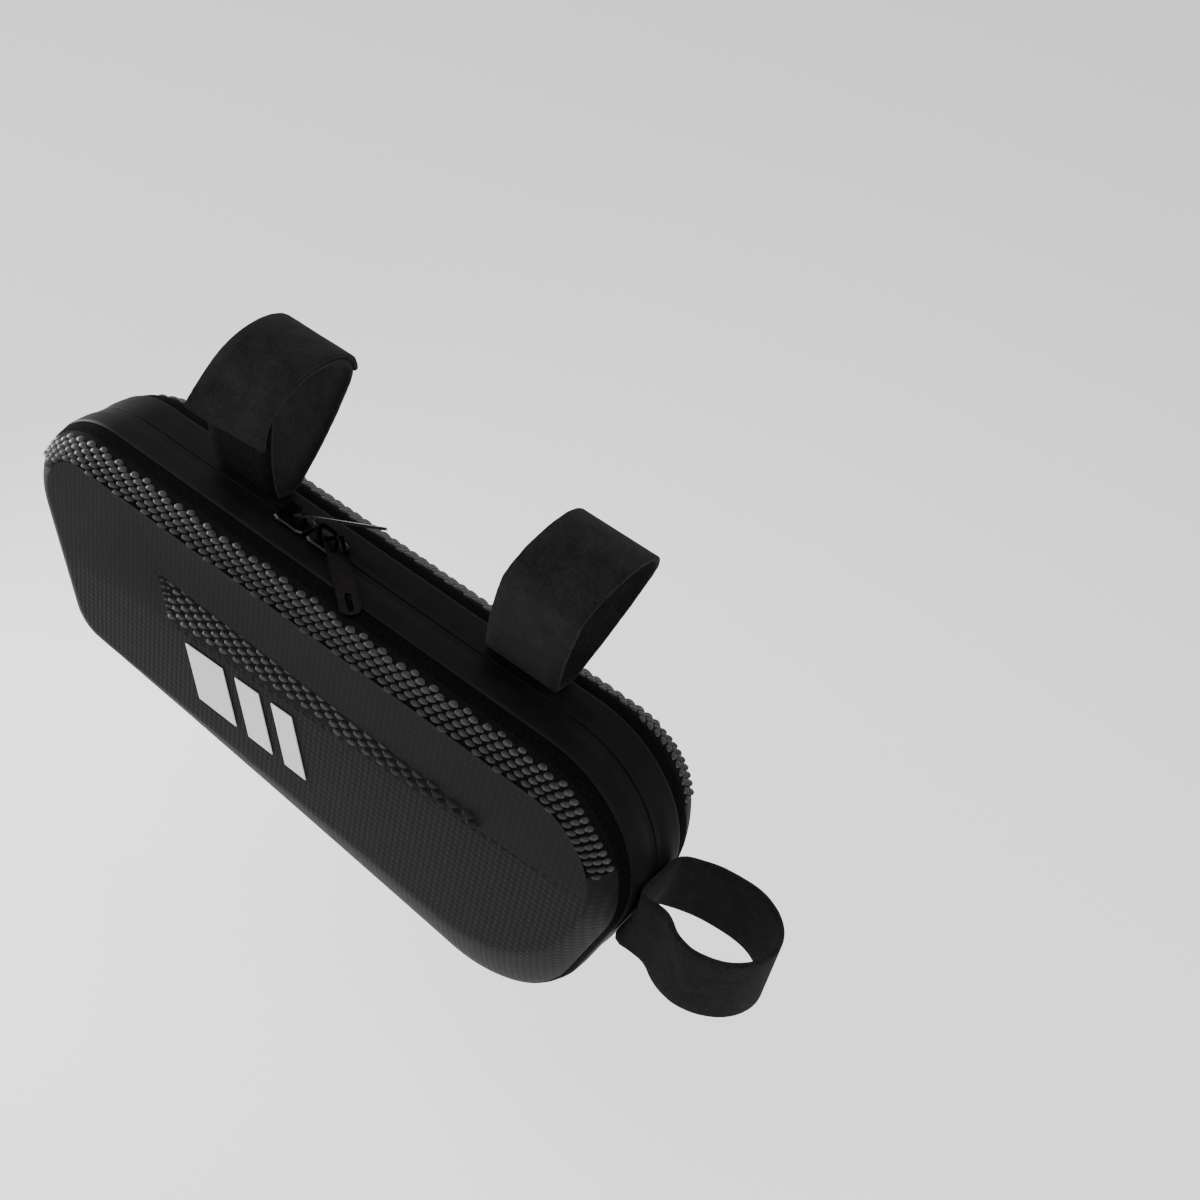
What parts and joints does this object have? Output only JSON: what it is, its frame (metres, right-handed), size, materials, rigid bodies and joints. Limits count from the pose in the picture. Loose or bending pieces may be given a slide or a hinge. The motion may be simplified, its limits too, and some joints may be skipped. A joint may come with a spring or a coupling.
{
  "type": "bicycle frame bag",
  "caption": "Hard-shell moulded frame bag for a bicycle: embossed side pans, zipped band with two sliders, three reflective stripes and hook-and-loop webbing loops.",
  "frame": {"origin": "on the axis of the top tube that carries the bag, midway between the two top loops", "axes": "+X to the rear of the bicycle along the top tube, -Y to the near side with the three stripes, +Z away from the bag's top edge"},
  "size_m": [0.3258, 0.0577, 0.1899],
  "materials": {
    "moulded_shell": "matt black moulded foam shell with an embossed weave",
    "coated_band": "smooth black coated cloth with a low sheen",
    "hook_and_loop_webbing": "matt black fuzzy webbing",
    "reflective_film": "light grey reflective film",
    "gunmetal": "dark gunmetal plating"
  },
  "bodies": {
    "bag": {"near_shell": "moulded_shell", "far_shell": "moulded_shell", "near_piping": "coated_band", "far_piping": "coated_band", "near_band": "coated_band", "far_band": "coated_band", "zip": "coated_band", "stripe_wide": "reflective_film", "stripe_middle": "reflective_film", "stripe_narrow": "reflective_film", "front_slider": "gunmetal", "rear_slider": "gunmetal", "front_top_strap": "hook_and_loop_webbing", "rear_top_strap": "hook_and_loop_webbing", "seat_tube_strap": "hook_and_loop_webbing"},
    "front_pull_tab": {"front_pull": "gunmetal"},
    "rear_pull_tab": {"rear_pull": "gunmetal"}
  },
  "joints": [
    {"name": "front_pull_hinge", "type": "hinge", "parent": "bag", "child": "front_pull_tab", "pos_m": [-0.0483, 0, -0.0469], "axis": [0.0247, -0.855, 0.518], "range_deg": [0, 60]},
    {"name": "rear_pull_hinge", "type": "hinge", "parent": "bag", "child": "rear_pull_tab", "pos_m": [-0.0328, 0, -0.0469], "axis": [-0.5592, -0.829, 0], "range_deg": [0, 60]}
  ]
}
